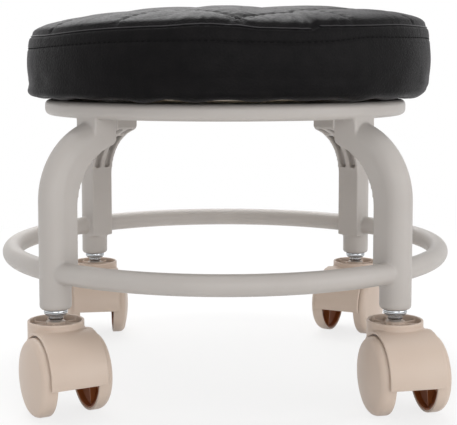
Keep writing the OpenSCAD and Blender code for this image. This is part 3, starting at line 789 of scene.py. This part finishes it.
def sew(made, rays):
    """Adds one stitch to a mesh: a bead between the points of the cover that two rays meet."""
    start, normal = on_cover(*rays[0])
    end = on_cover(*rays[1])[0]
    if start is None or end is None:
        return
    side = (end - start).normalized().cross(normal).normalized()
    skin_over(made, [ring_of(made, start.lerp(end, share) + normal * lift, THREAD_R * thick, side,
                             normal, THREAD_SIDES) for share, thick, lift in BEAD])


made = bmesh.new()
count = round(2 * math.pi * (SEAT_R - 1) / STITCH_PITCH)
for k in range(count):
    rays = []
    for end in STITCH_ENDS:
        angle = (k + end) * 360 / count - 180
        turn = math.radians(angle)
        way = Vector((-math.sin(turn), math.cos(turn), 0))
        middle = Vector((CUSHION_SHIFT, 0, between(STITCH_TABLE, angle)))
        rays.append((middle - way * LOOK_FROM_R, way))
    sew(made, rays)
for degrees, shift in QUILT_WAYS:
    cosine, sine = math.cos(math.radians(degrees)), math.sin(math.radians(degrees))
    for line in range(-3, 4):
        across = shift + line * QUILT_PITCH
        half = math.sqrt(max(0.0, (SEAM_R - QUILT_STOPS_IN) ** 2 - across ** 2))
        for k in range(int(2 * half / STITCH_PITCH)):
            rays = []
            for end in STITCH_ENDS:
                along = -half + (k + end) * STITCH_PITCH
                above = (cosine * along - sine * across + CUSHION_SHIFT,
                         sine * along + cosine * across, LOOK_FROM_Z)
                rays.append((above, LOOK_DOWN))
            sew(made, rays)
thread = new_piece("seam_thread", closed_mesh("seam_thread", made))
# Bonded polyester thread: black and nearly matt, with the twist of its strands.
black_thread, tree, place = new_material("black_polyester_thread")
twist = add(tree, "ShaderNodeTexNoise", {"Vector": place, "Scale": 1 / (0.5 * MM), "Detail": 1.0})
tone = add(tree, "ShaderNodeMixRGB", {"Fac": twist.outputs["Fac"], "Color1": linear("#050505"),
                                      "Color2": linear("#0d0c0d")})
bump = add(tree, "ShaderNodeBump", {"Height": twist.outputs["Fac"], "Strength": 0.6,
                                    "Distance": 0.08 * MM})
shader = add(tree, "ShaderNodeBsdfPrincipled", {"Base Color": tone.outputs[0], "Roughness": 0.7,
                                                "Normal": bump.outputs[0],
                                                "Specular IOR Level": 0.1})
add(tree, "ShaderNodeOutputMaterial", {"Surface": shader.outputs[0]})
thread.data.materials.append(black_thread)
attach(thread, "seat_base")


# The casters: each body is one nylon moulding with a ribbed cup on top, a hood over the
# wheels and a web between them. It turns freely on the pin under its zinc-plated stem.
LEG_AT = 110
CASTER_TURNS = {"front_left": 28.6, "front_right": 12.4, "rear_left": 8.2, "rear_right": -27.6}
BODY_VOXEL = 0.6 * MM
BODY_SOFTENING = 5


def stand(corner):
    """Where a caster stands, from the axes of its own pieces to the seat's."""
    side_x = -1 if "left" in corner else 1
    side_y = -1 if "front" in corner else 1
    return Matrix.Translation((side_x * LEG_AT * MM, side_y * LEG_AT * MM, 0)) \
        @ Matrix.Rotation(math.radians(CASTER_TURNS[corner]), 4, "Z")


# Nylon, moulded with a satin skin: beige, and a little waxy where light comes through. Its
# grain is drawn coarser than it is so that it shows.
beige_nylon = moulded_plastic("beige_nylon", "#c8b5a6", "#d5c6b8", 0.8, 0.04, 0.42)

body_mesh = copied("caster_body", ["front_left_caster_body"])
body_mesh.transform(stand("front_left").inverted())
pattern = softened(new_piece("caster_body", body_mesh), BODY_VOXEL, BODY_SOFTENING)
body_mesh = pattern.data
bpy.data.objects.remove(pattern)
body_mesh.materials.clear()
body_mesh.materials.append(beige_nylon)
for corner in CORNERS:
    body = new_piece(corner + "_caster_moulding", body_mesh)
    body.matrix_world = stand(corner)
    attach(body, corner + "_caster")
    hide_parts(corner + "_caster_body")


# The stem: turned steel, zinc plated. From the top: the spigot in the leg with its grip
# ring, a flange that the leg stands on, a thin collar, a grooved neck and the swivel pin.
STEM_OUTLINE = [(0, 27.9), (3.2, 27.9), (3.2, 56.5), (4.1, 56.6), (4.15, 57.5), (4.7, 57.8),
                (4.75, 58.5), (4.35, 58.65), (4.35, 58.95), (4.75, 59.1), (4.75, 59.8),
                (4.4, 59.95), (4.4, 60.3), (6.5, 60.35), (6.75, 60.5), (6.85, 60.75),
                (6.85, 61.15), (6.7, 61.35), (7.3, 61.4), (7.55, 61.5), (7.7, 61.8), (7.7, 63.7),
                (7.55, 64.0), (7.3, 64.15), (5.5, 64.2), (5.5, 76.2), (4.5, 76.25), (4.5, 82.15),
                (5.5, 82.2), (5.5, 84.0), (4.3, 85.2), (0, 85.2)]
# Heights and half widths in mm of painted dark bands: shade and dark reflections painted at the
# stem's turned corners.
PAINTED_DARK_BANDS = ((64.1, 0.5), (62.9, 0.35), (61.4, 0.45), (60.3, 0.3), (58.0, 0.45))
SHARP_EDGE = math.radians(32)


def turned(name, outline, sides=96, closed=False):
    """A solid turned about the Z axis from an outline of radius and height in mm. It starts
    and ends on the axis, or else is closed to a ring."""
    made = bmesh.new()
    around = [2 * math.pi * k / sides for k in range(sides)]
    rings = []
    for r, h in outline:
        if r == 0:
            rings.append([made.verts.new((0, 0, h * MM))] * sides)
        else:
            rings.append([made.verts.new((r * math.cos(t) * MM, r * math.sin(t) * MM, h * MM))
                          for t in around])
    for a, b in zip(rings, rings[1:] + (rings[:1] if closed else [])):
        for k in range(sides):
            n = (k + 1) % sides
            corners = list(dict.fromkeys([a[k], a[n], b[n], b[k]]))
            if len(corners) > 2:
                made.faces.new(corners)
    mesh = closed_mesh(name, made)
    mesh.set_sharp_from_angle(angle=SHARP_EDGE)
    return mesh


# The same bright zinc, with painted dark bands in the turned corners and grooves: shade and dark
# reflections painted into its colour.
zinc_with_painted_bands = plated_steel("zinc_turning_painted_bands", "#d9dcdf", "#b9bdc0", 0.14, PAINTED_DARK_BANDS)
stem_mesh = turned("stem", STEM_OUTLINE)
stem_mesh.materials.append(zinc_with_painted_bands)
for corner in CORNERS:
    stem = new_piece(corner + "_stem_turning", stem_mesh)
    stem.matrix_world = stand(corner)
    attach(stem, "seat_base")
    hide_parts(corner + "_stem")
    finish_node(corner + "_grip_ring", spring_steel)
    finish_node(corner + "_axle", bright_zinc)


# The wheels: each a beige nylon shell, dished outwards and open towards the web, snapped
# over a core that carries the hub and its ribs, drawn brown partly with painted bounce light. They
# run loose on the axle.
WHEEL_R = 25.0
WHEEL_SIDES = 128
TREAD_W = 8.8
BULGE = 4.2
TREAD_ROUND = 5.0
RIM = 1.5
WALL = 2.2
RIM_WALL = 1.8 * WALL
FACE_STEPS = 10
WALL_STEPS = 6
HALF_GAP = 13.5  # half the space between a caster's two wheels
TRAIL = 15.6  # how far the axle lies behind the stem
HUB_R = 6.0
BORE_R = 3.15
HUB_L = 10.6
CORE_T = 0.9
CORE_GAP = 0.1
RIBS = 6
RIB_T = 1.3
RIB_SUNK = 2.5  # how far the ribs lie inside the wheel's open side


def bulge_at(r):
    """Height of the dished face over the wheel's open side, at a radius."""
    ball = (WHEEL_R ** 2 + BULGE ** 2) / (2 * BULGE)
    return TREAD_W + BULGE - ball + math.sqrt(ball ** 2 - r ** 2)


def inner_face(reach, step, below=0.0):
    """Radius and height under the dished face's wall, some steps of the way out to a reach.
    The wall is thicker towards the rim."""
    r = reach * step / WALL_STEPS
    wall = WALL + (RIM_WALL - WALL) * step / WALL_STEPS
    return r, bulge_at(r) - wall - below


round_r = WHEEL_R - TREAD_ROUND
round_w = bulge_at(round_r) - TREAD_ROUND
cavity_r = WHEEL_R - RIM
shell_outline = [(r, bulge_at(r)) for r in (round_r * s / FACE_STEPS for s in range(FACE_STEPS))]
shell_outline += [(round_r + TREAD_ROUND * math.cos(turn), round_w + TREAD_ROUND * math.sin(turn))
                  for turn in (math.radians(degrees) for degrees in range(80, -1, -8))]
shell_outline += [(WHEEL_R, round_w / 2), (WHEEL_R, 0.6), (WHEEL_R - 0.18, 0.18),
                  (WHEEL_R - 0.6, 0), (cavity_r + 0.4, 0), (cavity_r + 0.1, 0.12), (cavity_r, 0.4)]
shell_outline += [inner_face(cavity_r, step) for step in range(WALL_STEPS, -1, -1)]
shell_mesh = turned("wheel_shell", shell_outline, WHEEL_SIDES)
shell_mesh.materials.append(beige_nylon)

core_r = cavity_r - 0.05
corner_h = inner_face(cavity_r, WALL_STEPS)[1]
core_outline = [(core_r, 0.5), (core_r, corner_h - CORE_GAP)]
core_outline += [inner_face(core_r, step, CORE_GAP) for step in range(5, 1, -1)]
core_outline += [(BORE_R, HUB_L + 0.4), (BORE_R, 0.3), (BORE_R + 0.3, 0), (HUB_R - 0.4, 0),
                 (HUB_R, 0.4), (HUB_R + 0.25, HUB_L - 3.0)]
core_outline += [inner_face(core_r, step, CORE_T) for step in range(3, 6)]
core_outline += [(core_r - CORE_T - 0.2, corner_h - CORE_T - 0.4), (core_r - CORE_T, 0.5)]
core_mesh = turned("wheel_core", core_outline, WHEEL_SIDES, closed=True)
rib_far = core_r - CORE_T / 2
rib_outline = [(HUB_R - 0.5, RIB_SUNK), (rib_far, RIB_SUNK + 1.5),
               (rib_far, bulge_at(rib_far) - RIM_WALL - 0.5), (HUB_R - 0.5, HUB_L - 1.0)]
made = bmesh.new()
for k in range(RIBS):
    turn = Matrix.Rotation(2 * math.pi * k / RIBS, 4, "Z")
    skin_over(made, [[made.verts.new((turn @ Vector((r, side, h))) * MM) for r, h in rib_outline]
                     for side in (-RIB_T / 2, RIB_T / 2)])
bmesh.ops.recalc_face_normals(made, faces=made.faces)
made.from_mesh(core_mesh)
made.to_mesh(core_mesh)
made.free()
core_mesh.set_sharp_from_angle(angle=SHARP_EDGE)
# Recycled nylon of the core: orange brown and duller. Its brown is partly its own colour and partly
# painted light, the warm glow that gathers in the hollow of the beige wheel.
brown_nylon_and_painted_bounce = moulded_plastic("brown_nylon_and_painted_bounce", "#8a4a1e", "#a86534", 0.8, 0.05, 0.5)
core_mesh.materials.append(brown_nylon_and_painted_bounce)
for corner in CORNERS:
    for side in ("left", "right"):
        name = corner + "_wheel_" + side
        at_axle = Matrix.Translation((0, -TRAIL * MM, WHEEL_R * MM))
        if side == "left":
            at_axle = at_axle @ Matrix.Rotation(math.pi, 4, "Z")
        at_wheel = stand(corner) @ at_axle @ Matrix.Translation((HALF_GAP * MM, 0, 0)) \
            @ Matrix.Rotation(math.pi / 2, 4, "Y")
        for kind, mesh in (("_shell", shell_mesh), ("_core", core_mesh)):
            wheel = new_piece(name + kind, mesh)
            wheel.matrix_world = at_wheel
            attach(wheel, name)
            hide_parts(name)
